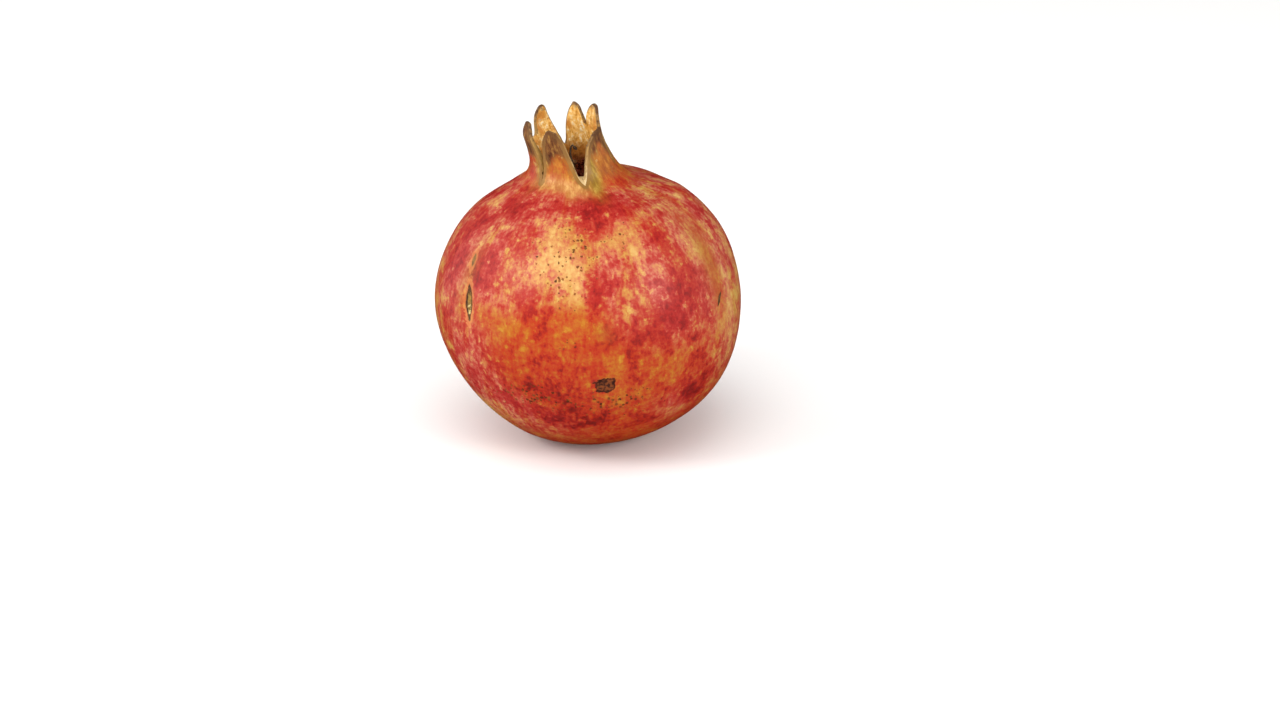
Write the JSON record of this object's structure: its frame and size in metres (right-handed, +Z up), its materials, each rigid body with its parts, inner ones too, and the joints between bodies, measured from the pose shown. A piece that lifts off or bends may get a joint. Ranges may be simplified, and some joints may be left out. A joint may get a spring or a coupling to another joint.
{
  "type": "pomegranate",
  "caption": "Whole ripe pomegranate standing on its stem end, with an open six-lobed calyx crown that leans to one side.",
  "frame": {"origin": "centre of the flat spot round the stem dimple, on the surface that the fruit rests on", "axes": "+Z up through the crown, -Y to the fruit's front with the lowest slit of the crown, -X the side the crown leans to"},
  "size_m": [0.0895, 0.0892, 0.0983],
  "materials": {
    "rind": "semi-matte, waxy and leathery, red mottled over golden yellow",
    "dried_stamens": "dry, matt, dark brown fibres",
    "dried_style": "dry, matt, brown",
    "stem_bark": "matt grey-brown bark with a pale cut end"
  },
  "bodies": {
    "root": {"fruit": "rind", "dried_stamens": "dried_stamens", "hooked_stamen": "dried_stamens", "dried_style": "dried_style", "stem_stub": "stem_bark"}
  },
  "joints": []
}
